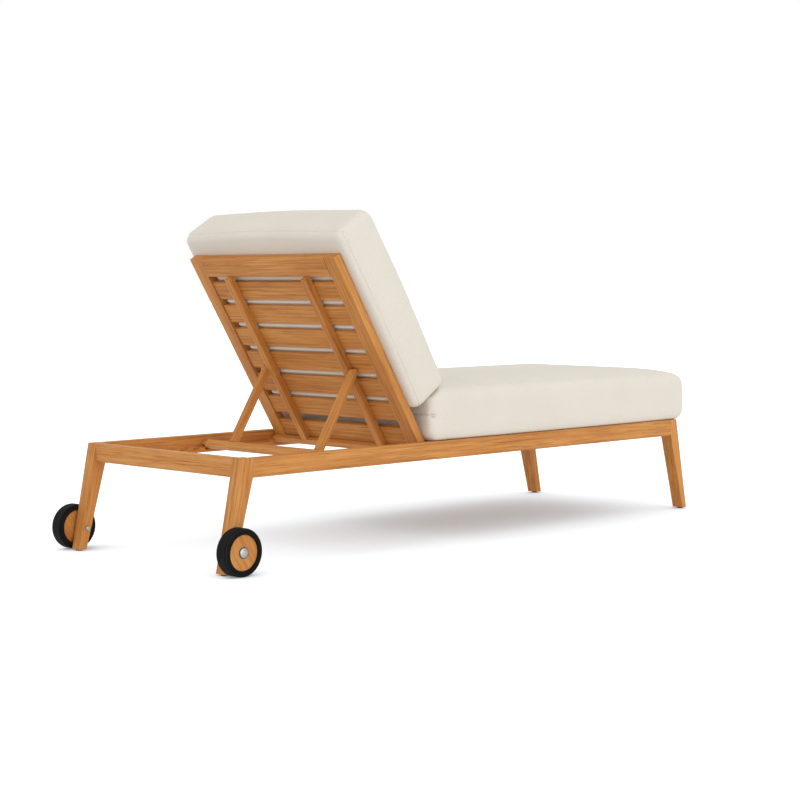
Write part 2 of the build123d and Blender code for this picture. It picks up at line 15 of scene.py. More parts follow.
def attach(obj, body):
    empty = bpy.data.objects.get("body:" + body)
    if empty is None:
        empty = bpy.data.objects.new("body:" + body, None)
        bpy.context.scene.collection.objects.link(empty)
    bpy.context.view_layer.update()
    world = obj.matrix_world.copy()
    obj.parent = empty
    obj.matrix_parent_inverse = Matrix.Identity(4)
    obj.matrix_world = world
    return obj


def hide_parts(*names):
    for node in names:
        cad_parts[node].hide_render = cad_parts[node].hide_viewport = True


bl_info = {
    "name": "Teak Chaise Lounger",
    "version": (1, 0, 0),
    "blender": (4, 5, 0),
    "location": "View3D > Sidebar > Lounger",
    "description": "Finishes a teak chaise lounger and sews its cushions",
    "category": "Object",
}

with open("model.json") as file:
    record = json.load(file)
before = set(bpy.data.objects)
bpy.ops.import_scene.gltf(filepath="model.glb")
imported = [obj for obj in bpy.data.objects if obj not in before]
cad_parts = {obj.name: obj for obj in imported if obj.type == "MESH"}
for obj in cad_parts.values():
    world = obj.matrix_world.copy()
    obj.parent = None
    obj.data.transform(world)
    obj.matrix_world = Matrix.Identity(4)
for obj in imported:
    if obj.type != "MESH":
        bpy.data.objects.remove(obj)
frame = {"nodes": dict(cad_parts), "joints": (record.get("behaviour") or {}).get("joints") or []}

MM = 0.001
# what the scale of a wave texture is, times the distance between its bands
WAVE_PERIOD = 2 * pi / 20

LAST_SEAT_SLAT = 14
LAST_BACK_SLAT = 6

# how often a cover is smoothed after it is cut
SMOOTHINGS = 2
# the canvas while the filling blows it up
CLOTH_SETTINGS = {
    "quality": 4,
    "mass": 0.4,
    "tension_stiffness": 12,
    "compression_stiffness": 12,
    "shear_stiffness": 6,
    "bending_stiffness": 1.2,
}
FILL_FRAMES = 20

# the floor's radius in metres, and how wide each soft light is as the lounger sees it
FLOOR_RADIUS = 60
SOFT_BOX_WIDTH = radians(40)


def joint(name):
    """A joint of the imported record, by its name."""
    return next(entry for entry in frame["joints"] if entry["name"] == name)


HINGE = Vector(joint("back_recline")["pos_m"])
PROP_TOP = Vector(joint("prop_swing")["pos_m"])
AXLE = Vector(joint("wheel_spin_right")["pos_m"])
# the back's slope at rest, from its hinge up to the prop's pivot
BACK_SLOPE = atan2(PROP_TOP.z - HINGE.z, PROP_TOP.y - HINGE.y)
BACK_UP = Vector((0, cos(BACK_SLOPE), sin(BACK_SLOPE)))
# a cushion is sewn in its own axes: across, along its length, and out of its top
SEAT_PLACE = Matrix()
BACK_PLACE = Matrix.Translation(HINGE) @ Matrix.Rotation(BACK_SLOPE, 4, "X")


def length(name, default_mm, description):
    """A property for a length, with its default in millimetres."""
    return bpy.props.FloatProperty(
        name=name, default=default_mm * MM, description=description, unit="LENGTH",
        subtype="DISTANCE", precision=4, min=0)


def colour(name, default_hex, description):
    """A property for a colour, with its default as sRGB hex."""
    return bpy.props.FloatVectorProperty(
        name=name, default=linear(default_hex), description=description, subtype="COLOR",
        size=4, min=0, max=1)


def linear(hex_colour):
    """An sRGB hex colour as linear red, green, blue and alpha."""
    values = [int(hex_colour[start:start + 2], 16) / 255 for start in (0, 2, 4)]
    light = [v / 12.92 if v <= 0.04045 else ((v + 0.055) / 1.055) ** 2.4 for v in values]
    return (*light, 1.0)


class LoungerTimber(bpy.types.PropertyGroup):
    """Colours and grain of the oiled teak."""
    pale: colour("Pale Grain", "D99D59", "Colour of the wide early growth between the rings")
    warm: colour("Warm Grain", "CA8741", "Main colour of the oiled boards")
    dark: colour("Dark Grain", "A1622B", "Colour of the narrow late growth in the rings")
    pore: colour("Pores", "7E471D", "Colour of the open pores")
    ring_spacing: length("Ring Spacing", 13, "Distance from one growth ring to the next")
    streak_width: length("Streak Width", 3.6, "Width of a streak of darker or paler fibres")
    fibre_width: length(
        "Fibre Width", 2.6, "Width of a bundle of fibres, drawn wide enough to show")


class LoungerFabric(bpy.types.PropertyGroup):
    """Sizes and colour of the sewn cushions."""
    cloth: colour("Canvas", "E6E0D4", "Colour of the solution-dyed canvas")
    shade: colour("Canvas Shade", "E0D9CC", "Colour of the slubs and the hollows between threads")
    thread: length(
        "Thread Spacing", 1.6, "Distance between the canvas's threads, drawn twice real size")
    seat_mesh: length("Seat Mesh", 10, "Size of the seat cushion's mesh before it is blown up")
    back_mesh: length("Back Mesh", 8, "Size of the back cushion's mesh before it is blown up")
    slack: length("Slack", 4, "How much smaller the cover starts than the cushion, on each side")
    swell_limit: length("Swell Limit", 4, "The farthest that the filling pushes the cover out")
    proud: length("Proud", 2.5, "How far the filled cover stands out past the cushion's cut size")
    sink: length("Sink", 3, "How far the cushion's own weight presses it flat where it rests")
    pressure: bpy.props.FloatProperty(
        name="Filling Pressure", default=4.0, min=0, description="How hard the filling presses")
    seam_depth: length("Seam Depth", 2.2, "How deep a seam pulls the cover in")
    seam_width: length("Seam Width", 2.4, "Half width of the hollow along a seam")
    back_seam: length(
        "Back Seam", 15, "Distance from the frame to the seam round the back cushion")
    stitch_place: length("Stitch Line", 10, "Distance from that seam to its row of top stitches")
    slat_clearance: length(
        "Slat Clearance", 0.6, "Distance from the sunken cover to the back's slats")
    gap_bulge: length(
        "Gap Bulge", 8, "How far the cover stands out between two of the back's slats")
    zip_height: length(
        "Zip Height", 77, "Height of the zip in the seat cushion's rear, over the slats")


class LoungerWheels(bpy.types.PropertyGroup):
    """Colours and sizes of the wheels, the steel and the glides."""
    rubber: colour("Rubber", "0B0B0B", "Colour of the tyres")
    dust: colour("Dust", "26221F", "Colour of the dust in the tread's grooves")
    steel: colour("Steel", "A7A9A8", "Colour of the brushed stainless steel")
    turning: length(
        "Turning Marks", 1.2, "Distance between the marks that the lathe left in the steel")
    # a painted shade: the dark ring at the caps' rim stands for the shadow in the recess against
    # the hub
    painted_rim_shade: colour("Painted_Rim_Shade", "35322E", "Colour of the grime round the axle's caps")
    nylon: colour("Nylon", "2A2A2A", "Colour of the glides")
    groove: length("Groove Spacing", 7, "Distance between the tyre's tread grooves")
    cap_radius: length("Cap Radius", 15.5, "Radius of the domed caps on the axle's bolts")


class LoungerStudio(bpy.types.PropertyGroup):
    """The camera, the lights and the floor."""
    camera_place: bpy.props.FloatVectorProperty(
        name="Camera Place", default=(-4.05495, 4.12565, 0.78587), subtype="TRANSLATION",
        description="Where the camera stands")
    camera_turn: bpy.props.FloatProperty(
        name="Camera Turn", default=radians(224.53), subtype="ANGLE",
        description="Heading of the camera about the upright")
    camera_drop: bpy.props.FloatProperty(
        name="Camera Drop", default=radians(3.75), subtype="ANGLE",
        description="How far the camera looks down")
    lens: bpy.props.FloatProperty(
        name="Lens", default=82.45, unit="CAMERA", description="Focal length on a 36 mm sensor")
    side_sun: bpy.props.FloatProperty(
        name="Side Light", default=0.82, min=0,
        description="Strength of the low soft light at the side")
    rear_sun: bpy.props.FloatProperty(
        name="Rear Light", default=0.34, min=0,
        description="Strength of the soft light above the wheels")
    sky: bpy.props.FloatProperty(
        name="Sky", default=0.77, min=0, description="Strength of the light from all round")


def add_node(tree, kind, inputs=None, stops=(), **settings):
    """Add a node, set its properties, then its inputs, each from a value or from another socket.

    The stops of a colour ramp are given as (place, colour).
    """
    node = tree.nodes.new(kind)
    for name, value in settings.items():
        setattr(node, name, value)
    while stops and len(node.color_ramp.elements) < len(stops):
        node.color_ramp.elements.new(0.5)
    for count, (place, shade) in enumerate(stops):
        node.color_ramp.elements[count].position = place
        node.color_ramp.elements[count].color = shade
    for name, value in (inputs or {}).items():
        socket = node.inputs[name]
        if isinstance(value, bpy.types.NodeSocket):
            tree.links.new(value, socket)
        else:
            socket.default_value = value
    return node


def empty_tree(owner):
    """The node tree of a new material or world, with nothing in it."""
    owner.use_nodes = True
    owner.node_tree.nodes.clear()
    return owner.node_tree


def new_material(name):
    """A node material with only its shader and output, as (material, tree, shader)."""
    material = bpy.data.materials.new(name)
    tree = empty_tree(material)
    shader = add_node(tree, "ShaderNodeBsdfPrincipled")
    add_node(tree, "ShaderNodeOutputMaterial", {"Surface": shader.outputs["BSDF"]})
    return material, tree, shader


def dress(names, material):
    """Give the named pieces of the frame one material."""
    for name in names:
        data = frame["nodes"][name].data
        data.materials.clear()
        data.materials.append(material)


def pair(name):
    """The names of a piece's left and right copies."""
    return [f"{name}_left", f"{name}_right"]


# Teak, planed and oiled: straight golden brown grain, faint rings, fine streaks and open pores
def teak(name, settings, slope, across, fineness):
    """Teak whose grain runs at a slope in the YZ plane, or across the lounger along X."""
    material, tree, shader = new_material(name)
    turn = (0, 0, 0) if across else (-slope, 0, radians(-90))
    place = add_node(tree, "ShaderNodeTexCoord").outputs["Object"]
    along = add_node(
        tree, "ShaderNodeMapping", {"Vector": place, "Rotation": turn}).outputs["Vector"]

    # each layer is a noise drawn out along the grain, as (share of its width, width, detail)
    layers = {
        "tone": (0.15, 70 * MM, 2.0),
        "patches": (0.2, 45 * MM, 1.0),
        "streaks": (0.024, settings.streak_width / fineness, 4.0),
        "fibres": (0.022, settings.fibre_width / fineness, 3.0),
        "pores": (0.035, settings.fibre_width / fineness, 2.0),
    }
    drawn = {}
    for layer, (squeeze, width, detail) in layers.items():
        stretched = add_node(
            tree, "ShaderNodeMapping", {"Vector": along, "Scale": (squeeze, 1, 1)})
        drawn[layer] = add_node(
            tree, "ShaderNodeTexNoise",
            {"Vector": stretched.outputs["Vector"], "Scale": 1 / width, "Detail": detail,
             "Roughness": 0.58}).outputs["Fac"]

    # growth rings round a heart that lies beside and below each board
    heart = add_node(
        tree, "ShaderNodeMapping",
        {"Vector": along, "Location": (0, 0.31, 0.17), "Scale": (0.05, 1, 1)})
    rings = add_node(
        tree, "ShaderNodeTexWave",
        {"Vector": heart.outputs["Vector"], "Scale": WAVE_PERIOD / settings.ring_spacing,
         "Distortion": 11.0, "Detail": 3.0, "Detail Scale": 0.5, "Detail Roughness": 0.6},
        wave_type="RINGS", rings_direction="X").outputs["Fac"]

    # streaks crowd in some parts of a board and thin out in others
    crowd = add_node(
        tree, "ShaderNodeMapRange",
        {"Value": drawn["patches"], "From Min": 0.35, "From Max": 0.65,
         "To Min": 0.15, "To Max": 0.6})
    figure = add_node(
        tree, "ShaderNodeMath", {0: drawn["streaks"], 1: 0.5}, operation="SUBTRACT")
    figure = add_node(
        tree, "ShaderNodeMath",
        {0: figure.outputs["Value"], 1: crowd.outputs["Result"], 2: 0.2}, operation="MULTIPLY_ADD")
    for fact, share in ((rings, 0.06), (drawn["tone"], 0.35), (drawn["fibres"], 0.2)):
        figure = add_node(
            tree, "ShaderNodeMath", {0: fact, 1: share, 2: figure.outputs["Value"]},
            operation="MULTIPLY_ADD")
    wood = add_node(
        tree, "ShaderNodeValToRGB", {"Fac": figure.outputs["Value"]},
        stops=((0.36, settings.pale), (0.50, settings.warm), (0.66, settings.dark)))
    pore = add_node(
        tree, "ShaderNodeMapRange",
        {"Value": drawn["pores"], "From Min": 0.56, "From Max": 0.72, "To Max": 0.55})
    grain = add_node(
        tree, "ShaderNodeMix",
        {0: pore.outputs["Result"], 6: wood.outputs["Color"], 7: settings.pore},
        data_type="RGBA")
    tree.links.new(grain.outputs[2], shader.inputs["Base Color"])

    rough = add_node(
        tree, "ShaderNodeMapRange",
        {"Value": drawn["fibres"], "From Min": 0.3, "From Max": 0.7,
         "To Min": 0.48, "To Max": 0.62})
    tree.links.new(rough.outputs["Result"], shader.inputs["Roughness"])
    relief = add_node(
        tree, "ShaderNodeMath",
        {0: pore.outputs["Result"], 1: -1.0, 2: drawn["fibres"]}, operation="MULTIPLY_ADD")
    bump = add_node(
        tree, "ShaderNodeBump",
        {"Height": relief.outputs["Value"], "Strength": 0.25, "Distance": 0.4 * MM})
    tree.links.new(bump.outputs["Normal"], shader.inputs["Normal"])
    shader.inputs["IOR"].default_value = 1.5
    shader.inputs["Specular IOR Level"].default_value = 0.3
    return material


class LOUNGER_OT_teak(bpy.types.Operator):
    """Give every board, rail, leg and prop its oiled teak, with the grain along the piece"""
    bl_idname = "lounger.teak"
    bl_label = "Finish Teak"

    def execute(self, context):
        settings = context.scene.lounger_timber
        # the splayed legs' lean from the upright
        lean = atan2(1, 5)
        # each material's slope, whether it runs across, and its pieces
        grains = {
            "teak across": (None, True, [
                "foot_rail", "rear_rail", "deck_bearer", "back_top_rail", "back_bottom_rail",
                "back_pivot_bar", "prop_crossbar",
                *(f"seat_slat_{count}" for count in range(1, LAST_SEAT_SLAT + 1)),
                *(f"back_slat_{count}" for count in range(1, LAST_BACK_SLAT + 1))]),
            "teak lengthwise": (0, False, [
                *pair("side_rail"), *pair("seat_cleat"), *pair("prop_rack")]),
            "teak back": (BACK_SLOPE, False, [*pair("back_stile"), *pair("back_batten")]),
            "teak prop": (-BACK_SLOPE, False, pair("prop_arm")),
            "teak rear leg": (lean - pi / 2, False, pair("rear_leg")),
            "teak foot leg": (-lean - pi / 2, False, pair("foot_leg")),
            "teak hub": (radians(60), False, pair("wheel_hub")),
        }
        for name, (slope, across, nodes) in grains.items():
            # the hubs are turned from a slow-grown, finer board
            fineness = 1.8 if name == "teak hub" else 1.0
            dress(nodes, teak(name, settings, slope, across, fineness))
        return {"FINISHED"}


# Stainless steel, turned and brushed: soft rings round the axle, and a broken highlight
def stainless_steel(name, settings, capped=False):
    """Steel, and on the axle's caps a painted shade at the rim against the hub, standing for the
    shadow in the recess there.
    """
    material, tree, shader = new_material(name)
    place = add_node(tree, "ShaderNodeTexCoord").outputs["Object"]
    centred = add_node(
        tree, "ShaderNodeMapping", {"Vector": place, "Location": (0, -AXLE.y, -AXLE.z)})
    rings = add_node(
        tree, "ShaderNodeTexWave",
        {"Vector": centred.outputs["Vector"], "Scale": WAVE_PERIOD / settings.turning,
         "Distortion": 0.6},
        wave_type="RINGS", rings_direction="X")
    smudge = add_node(
        tree, "ShaderNodeTexNoise", {"Vector": place, "Scale": 90.0, "Detail": 3.0})
    rough = add_node(
        tree, "ShaderNodeMapRange",
        {"Value": smudge.outputs["Fac"], "To Min": 0.34, "To Max": 0.5})
    bump = add_node(
        tree, "ShaderNodeBump",
        {"Height": rings.outputs["Fac"], "Strength": 0.12, "Distance": 0.1 * MM})
    tree.links.new(rough.outputs["Result"], shader.inputs["Roughness"])
    tree.links.new(bump.outputs["Normal"], shader.inputs["Normal"])
    shader.inputs["Base Color"].default_value = settings.steel
    shader.inputs["Metallic"].default_value = 1.0
    if capped:
        # how far a point is from the axle, and how dark the painted shade is near the rim, standing
        # for the shadow in the recess against the hub
        flat = add_node(
            tree, "ShaderNodeVectorMath", {0: centred.outputs["Vector"], 1: (0, 1, 1)},
            operation="MULTIPLY")
        away = add_node(
            tree, "ShaderNodeVectorMath", {0: flat.outputs["Vector"]}, operation="LENGTH")
        rim = add_node(
            tree, "ShaderNodeMapRange",
            {"Value": away.outputs["Value"], "From Min": settings.cap_radius - 2.6 * MM,
             "From Max": settings.cap_radius - 1.8 * MM, "To Max": 0.85})
        shade = add_node(
            tree, "ShaderNodeMix",
            {0: rim.outputs["Result"], 6: settings.steel, 7: settings.painted_rim_shade}, data_type="RGBA")
        tree.links.new(shade.outputs[2], shader.inputs["Base Color"])
    return material


# Moulded rubber: nearly black, dull, a little dusty, with grooves round the tread
def tyre_rubber(name, settings):
    material, tree, shader = new_material(name)
    place = add_node(tree, "ShaderNodeTexCoord").outputs["Object"]
    film = add_node(
        tree, "ShaderNodeTexNoise",
        {"Vector": place, "Scale": 38.0, "Detail": 5.0, "Roughness": 0.6})
    dusty = (*(value * 1.6 + 0.003 for value in settings.rubber[:3]), 1.0)
    shade = add_node(
        tree, "ShaderNodeValToRGB", {"Fac": film.outputs["Fac"]},
        stops=((0.45, settings.rubber), (0.8, dusty)))
    tread = add_node(
        tree, "ShaderNodeTexWave",
        {"Vector": place, "Scale": WAVE_PERIOD / settings.groove},
        wave_type="BANDS", bands_direction="X")
    cut = add_node(
        tree, "ShaderNodeMapRange",
        {"Value": tread.outputs["Fac"], "From Min": 0.05, "From Max": 0.25})
    # dust stays in the grooves
    settled = add_node(
        tree, "ShaderNodeMix",
        {0: cut.outputs["Result"], 6: settings.dust, 7: shade.outputs["Color"]},
        data_type="RGBA")
    tree.links.new(settled.outputs[2], shader.inputs["Base Color"])
    grit = add_node(tree, "ShaderNodeTexNoise", {"Vector": place, "Scale": 900.0, "Detail": 2.0})
    height = add_node(
        tree, "ShaderNodeMath",
        {0: grit.outputs["Fac"], 1: 0.12, 2: cut.outputs["Result"]}, operation="MULTIPLY_ADD")
    bump = add_node(
        tree, "ShaderNodeBump",
        {"Height": height.outputs["Value"], "Strength": 0.5, "Distance": 0.6 * MM})
    tree.links.new(bump.outputs["Normal"], shader.inputs["Normal"])
    shader.inputs["Roughness"].default_value = 0.7
    shader.inputs["Specular IOR Level"].default_value = 0.1
    return material


# Nylon, moulded and scuffed: dark and satin, paler where the floor has rubbed it
def nylon(name, settings):
    material, tree, shader = new_material(name)
    place = add_node(tree, "ShaderNodeTexCoord").outputs["Object"]
    scuff = add_node(tree, "ShaderNodeTexNoise", {"Vector": place, "Scale": 260.0, "Detail": 4.0})
    pale = (*(value * 2.2 + 0.01 for value in settings.nylon[:3]), 1.0)
    shade = add_node(
        tree, "ShaderNodeValToRGB", {"Fac": scuff.outputs["Fac"]},
        stops=((0.5, settings.nylon), (0.8, pale)))
    tree.links.new(shade.outputs["Color"], shader.inputs["Base Color"])
    shader.inputs["Roughness"].default_value = 0.45
    return material


class LOUNGER_OT_hardware(bpy.types.Operator):
    """Finish the bolts, pins, screws, tyres and glides"""
    bl_idname = "lounger.hardware"
    bl_label = "Finish Hardware"

    def execute(self, context):
        settings = context.scene.lounger_wheels
        steel = stainless_steel("brushed stainless steel", settings)
        dress(["axle_nuts", "axle_spacers", "hinge_pins", "prop_pins", "deck_screws",
               "prop_screws"], steel)
        dress(pair("axle_bolt"), stainless_steel("turned stainless steel", settings, capped=True))
        dress(pair("tyre"), tyre_rubber("moulded rubber", settings))
        dress(["leg_glides"], nylon("scuffed nylon", settings))
        return {"FINISHED"}


# Solution-dyed acrylic canvas: off-white plain weave with slubs, and a soft sheen at a low angle
def canvas(name, settings, slope):
    """Canvas whose threads follow a cushion's own axes, which slope in the YZ plane."""
    material, tree, shader = new_material(name)
    coords = add_node(tree, "ShaderNodeTexCoord")
    flat = add_node(
        tree, "ShaderNodeMapping", {"Vector": coords.outputs["Object"], "Rotation": (-slope, 0, 0)})
    facing = add_node(
        tree, "ShaderNodeMapping", {"Vector": coords.outputs["Normal"], "Rotation": (-slope, 0, 0)})
    normal = add_node(tree, "ShaderNodeSeparateXYZ", {"Vector": facing.outputs["Vector"]})
    place = flat.outputs["Vector"]

    # threads along each axis fade where the surface faces that axis, so that none smears
    weave = None
    for axis in "XYZ":
        thread = add_node(
            tree, "ShaderNodeTexWave",
            {"Vector": place, "Scale": WAVE_PERIOD / settings.thread, "Distortion": 0.7,
             "Detail": 1.0, "Detail Scale": 2.0},
            wave_type="BANDS", bands_direction=axis)
        size = add_node(
            tree, "ShaderNodeMath", {0: normal.outputs[axis]}, operation="ABSOLUTE")
        keep = add_node(
            tree, "ShaderNodeMapRange",
            {"Value": size.outputs["Value"], "From Min": 0.35, "From Max": 0.8,
             "To Min": 1.0, "To Max": 0.0})
        part = {0: thread.outputs["Fac"], 1: keep.outputs["Result"]}
        if weave is None:
            weave = add_node(tree, "ShaderNodeMath", part, operation="MULTIPLY")
        else:
            part[2] = weave.outputs["Value"]
            weave = add_node(tree, "ShaderNodeMath", part, operation="MULTIPLY_ADD")

    slub = add_node(
        tree, "ShaderNodeTexNoise",
        {"Vector": place, "Scale": 210.0, "Detail": 3.0, "Roughness": 0.6})
    drift = add_node(
        tree, "ShaderNodeTexNoise",
        {"Vector": place, "Scale": 7.0, "Detail": 3.0, "Roughness": 0.5})
    mottle = add_node(
        tree, "ShaderNodeMath",
        {0: drift.outputs["Fac"], 1: 0.5, 2: slub.outputs["Fac"]}, operation="MULTIPLY_ADD")
    shade = add_node(
        tree, "ShaderNodeValToRGB", {"Fac": mottle.outputs["Value"]},
        stops=((0.55, settings.shade), (0.92, settings.cloth)))
    tree.links.new(shade.outputs["Color"], shader.inputs["Base Color"])

    height = add_node(
        tree, "ShaderNodeMath",
        {0: slub.outputs["Fac"], 1: 0.8, 2: weave.outputs["Value"]}, operation="MULTIPLY_ADD")
    bump = add_node(
        tree, "ShaderNodeBump",
        {"Height": height.outputs["Value"], "Strength": 0.2, "Distance": 0.3 * MM})
    tree.links.new(bump.outputs["Normal"], shader.inputs["Normal"])
    shader.inputs["Roughness"].default_value = 0.86
    shader.inputs["Sheen Weight"].default_value = 0.12
    shader.inputs["Sheen Roughness"].default_value = 0.5
    shader.inputs["Specular IOR Level"].default_value = 0.25
    return material


def extent(data):
    """The lowest and the highest corner of a mesh."""
    columns = list(zip(*(vert.co for vert in data.vertices)))
    return Vector([min(column) for column in columns]), Vector([max(column) for column in columns])


def fit(data, low, high):
    """Scale and move a mesh so that it fills a box."""
    start, end = extent(data)
    scale = [(far - near) / (stop - begin) for near, far, begin, stop in zip(low, high, start, end)]
    data.transform(
        Matrix.Translation(low) @ Matrix.Diagonal((*scale, 1)) @ Matrix.Translation(-start))


def cover_from(solid, name, voxel, low, high):
    """A closed cover in even quads, with a solid's shape, that fills a box."""
    data = solid.copy()
    cover = bpy.data.objects.new(name, data)
    bpy.context.scene.collection.objects.link(cover)
    bpy.context.view_layer.objects.active = cover
    data.remesh_voxel_size = voxel
    data.remesh_voxel_adaptivity = 0
    with bpy.context.temp_override(active_object=cover, object=cover, selected_objects=[cover]):
        bpy.ops.object.voxel_remesh()
    mesh = bmesh.new()
    mesh.from_mesh(cover.data)
    for _ in range(SMOOTHINGS):
        bmesh.ops.smooth_vert(
            mesh, verts=mesh.verts, factor=0.5, use_axis_x=True, use_axis_y=True, use_axis_z=True)
    mesh.to_mesh(cover.data)
    mesh.free()
    fit(cover.data, low, high)
    return cover


def fill(cover, pressure, limit):
    """Blow the cover up with the filling, and hold each point within the limit of where it was."""
    before = [vert.co.copy() for vert in cover.data.vertices]
    cloth = cover.modifiers.new("Filling", "CLOTH")
    cloth.settings.use_pressure = True
    cloth.settings.uniform_pressure_force = pressure
    cloth.settings.effector_weights.gravity = 0
    for name, value in CLOTH_SETTINGS.items():
        setattr(cloth.settings, name, value)
    cloth.point_cache.frame_start = 1
    cloth.point_cache.frame_end = FILL_FRAMES
    for count in range(1, FILL_FRAMES + 1):
        bpy.context.scene.frame_set(count)
    settled = cover.evaluated_get(bpy.context.evaluated_depsgraph_get())
    after = [vert.co.copy() for vert in settled.data.vertices]
    cover.modifiers.remove(cloth)
    bpy.context.scene.frame_set(1)
    for vert, start, end in zip(cover.data.vertices, before, after):
        move = end - start
        if move.length > limit:
            move *= limit / move.length
        vert.co = start + move


def press(data, point, normal):
    """Press a mesh flat against a plane, whose normal points to the mesh's side."""
    for vert in data.vertices:
        depth = normal.dot(point - vert.co)
        if depth > 0:
            vert.co += normal * depth


def subdivide_once(cover):
    """Round the cover off with one applied subdivision."""
    smooth = cover.modifiers.new("Smooth", "SUBSURF")
    smooth.levels = 1
    smooth.render_levels = 1
    with bpy.context.temp_override(active_object=cover, object=cover, selected_objects=[cover]):
        bpy.ops.object.modifier_apply(modifier=smooth.name)


def stuffed_cover(node, name, place, voxel, settings, rests):
    """A cushion's cover in its own axes: cut to its solid, blown up, and pressed flat on its rests.

    Each rest is a plane's point and normal. Also gives the box of the solid in these axes.
    """
    solid = frame["nodes"][node].data.copy()
    solid.materials.clear()
    solid.transform(place.inverted())
    mesh = bmesh.new()
    mesh.from_mesh(solid)
    bmesh.ops.remove_doubles(mesh, verts=mesh.verts, dist=0.05 * MM)
    bmesh.ops.recalc_face_normals(mesh, faces=mesh.faces)
    mesh.to_mesh(solid)
    mesh.free()
    low, high = extent(solid)
    slack = Vector((settings.slack,) * 3)
    cover = cover_from(solid, name, voxel, low + slack, high - slack)
    bpy.data.meshes.remove(solid)
    fill(cover, settings.pressure, settings.swell_limit)
    # the side that rests bulges past its plane before it is pressed flat
    proud = Vector((settings.proud,) * 3)
    fit(cover.data, low - proud - Vector((0, 0, settings.sink)), high + proud)
    for point, normal in rests(low, high):
        press(cover.data, point, normal)
    subdivide_once(cover)
    return cover, low, high


def sew(cover, seams, width):
    """Draw the cover in along each seam, given as (plane's point, normal, depth, reach).

    A seam runs where its reach, a function of a point, is over zero, and is as deep as that share.
    """
    # the faces that a cut looks at, and the points that it draws in, in widths from the seam
    near_faces, near_points = 5, 1.5
    mesh = bmesh.new()
    mesh.from_mesh(cover.data)
    for point, normal, depth, reach in seams:
        for offset in (-width, 0, width):
            beside = point + normal * offset
            near = [face for face in mesh.faces
                    if abs(normal.dot(face.calc_center_median() - beside)) < near_faces * width
                    and reach(face.calc_center_median()) > 0]
            edges = {edge for face in near for edge in face.edges}
            verts = {vert for face in near for vert in face.verts}
            bmesh.ops.bisect_plane(
                mesh, geom=[*verts, *edges, *near], dist=0.3 * MM, plane_co=beside, plane_no=normal)
        mesh.normal_update()
        moves = []
        for vert in mesh.verts:
            away = abs(normal.dot(vert.co - point)) / width
            if away < near_points:
                pull = reach(vert.co) * exp(-2 * away * away)
                moves.append((vert, vert.normal * depth * pull))
        for vert, move in moves:
            vert.co -= move
    mesh.to_mesh(cover.data)
    mesh.free()


def pinch(cover, spots, depth, width):
    """Draw the cover in at each spot, where a seam's corner is held."""
    cover.data.update()
    moves = []
    for vert in cover.data.vertices:
        pull = sum(exp(-((vert.co - spot).length / width) ** 2) for spot in spots)
        moves.append(vert.normal * (depth * pull))
    for vert, move in zip(cover.data.vertices, moves):
        vert.co -= move


def own_extent(node, place):
    """The lowest and the highest corner of a piece of the frame, in a cushion's own axes."""
    data = frame["nodes"][node].data.copy()
    data.transform(place.inverted())
    corners = extent(data)
    bpy.data.meshes.remove(data)
    return corners


def ease(distance, reach):
    """From 0 at an edge to 1 at a reach from it, without a kink at either."""
    share = min(1.0, max(0.0, distance / reach))
    return share * share * (3 - 2 * share)


def sag_between_slats(cover, rest, settings):
    """Let the back cushion's flat side sink into the frame, onto its slats and into their gaps."""
    # how far inside the frame's opening the cover has sunk to its full depth
    slope_reach = 24 * MM
    # how far off the frame a point of the flat side may be
    flat_within = 0.5 * MM
    stile = own_extent("back_stile_right", BACK_PLACE)[0].x
    bottom = own_extent("back_bottom_rail", BACK_PLACE)[1].y
    top = own_extent("back_top_rail", BACK_PLACE)[0].y
    slats = sorted(
        own_extent(f"back_slat_{count}", BACK_PLACE)[0].y for count in range(1, LAST_BACK_SLAT + 1))
    low, high = own_extent("back_slat_1", BACK_PLACE)
    width = high.y - low.y
    edges = [bottom, *(edge for start in slats for edge in (start, start + width)), top]
    gaps = list(zip(edges[::2], edges[1::2]))
    sink = rest - high.z - settings.slat_clearance
    for vert in cover.data.vertices:
        if vert.co.z - rest > flat_within or not bottom < vert.co.y < top:
            continue
        share = ease(stile - abs(vert.co.x), slope_reach)
        share *= ease(min(vert.co.y - bottom, top - vert.co.y), slope_reach)
        bulge = 0.0
        for start, end in gaps:
            if start < vert.co.y < end:
                bulge = settings.gap_bulge * sin(pi * (vert.co.y - start) / (end - start)) ** 2
        vert.co.z -= share * (sink + bulge)


def finish_cushion(cover, place, material, node, body):
    """Put a cover in its place on its body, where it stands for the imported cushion."""
    cover.data.transform(place)
    cover.data.shade_smooth()
    cover.data.materials.append(material)
    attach(cover, body)
    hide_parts(node)


class LOUNGER_OT_seat_cushion(bpy.types.Operator):
    """Sew and fill the seat cushion, with the zip across its rear end"""
    bl_idname = "lounger.seat_cushion"
    bl_label = "Seat Cushion"

    def execute(self, context):
        settings = context.scene.lounger_fabric
        # the rear end leans on the back cushion's slope, at the farthest point of the solid
        solid = frame["nodes"]["seat_cushion"].data
        lean = max(BACK_UP.dot(vert.co - HINGE) for vert in solid.vertices)

        def rests(low, high):
            return (low, Vector((0, 0, 1))), (HINGE + BACK_UP * lean, -BACK_UP)

        cover, low, high = stuffed_cover(
            "seat_cushion", "seat_cushion_cover", SEAT_PLACE, settings.seat_mesh, settings, rests)
        zip_end, zip_ease = high.y - 20 * MM, 18 * MM

        def across_rear(point):
            return ease(point.y - zip_end, zip_ease)

        up = Vector((0, 0, 1))
        middle = up * (low.z + settings.zip_height)
        zip_depth = 2.2 * settings.seam_depth
        sew(cover, [(middle, up, zip_depth, across_rear)], settings.seam_width)
        # the zip's ends are held just inside the sides
        inset, held_back, pull, hollow = 4 * MM, 10 * MM, 4 * MM, 13 * MM
        ends = [Vector((side, high.y - held_back, middle.z))
                for side in (low.x + inset, high.x - inset)]
        pinch(cover, ends, pull, hollow)
        finish_cushion(
            cover, SEAT_PLACE, canvas("woven canvas seat", settings, 0.0), "seat_cushion",
            "base")
        return {"FINISHED"}


